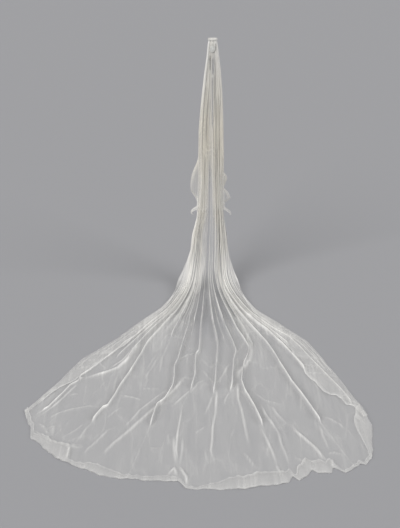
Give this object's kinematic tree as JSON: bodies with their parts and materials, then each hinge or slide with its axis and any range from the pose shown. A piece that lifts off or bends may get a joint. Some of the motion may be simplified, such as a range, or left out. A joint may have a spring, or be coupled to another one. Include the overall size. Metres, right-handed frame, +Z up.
{
  "type": "bridal veil",
  "caption": "Long tulle bridal veil in gathered layers, hung by its crown band, with its train spread on the floor.",
  "frame": {"origin": "middle of the gather band's top, where the veil is held", "axes": "+Z up; the train runs out over the floor towards -Y; +X to the right as the train is seen from its hem"},
  "size_m": [1.7301, 2.4718, 1.6],
  "materials": {
    "tulle": "sheer ivory net, soft sheen",
    "binding": "woven binding, matte",
    "tacking": "wound thread, matte"
  },
  "bodies": {
    "root": {"long_layer": "tulle", "short_layer": "tulle", "gather_band": "binding", "tacked_patch": "tacking"}
  },
  "joints": []
}
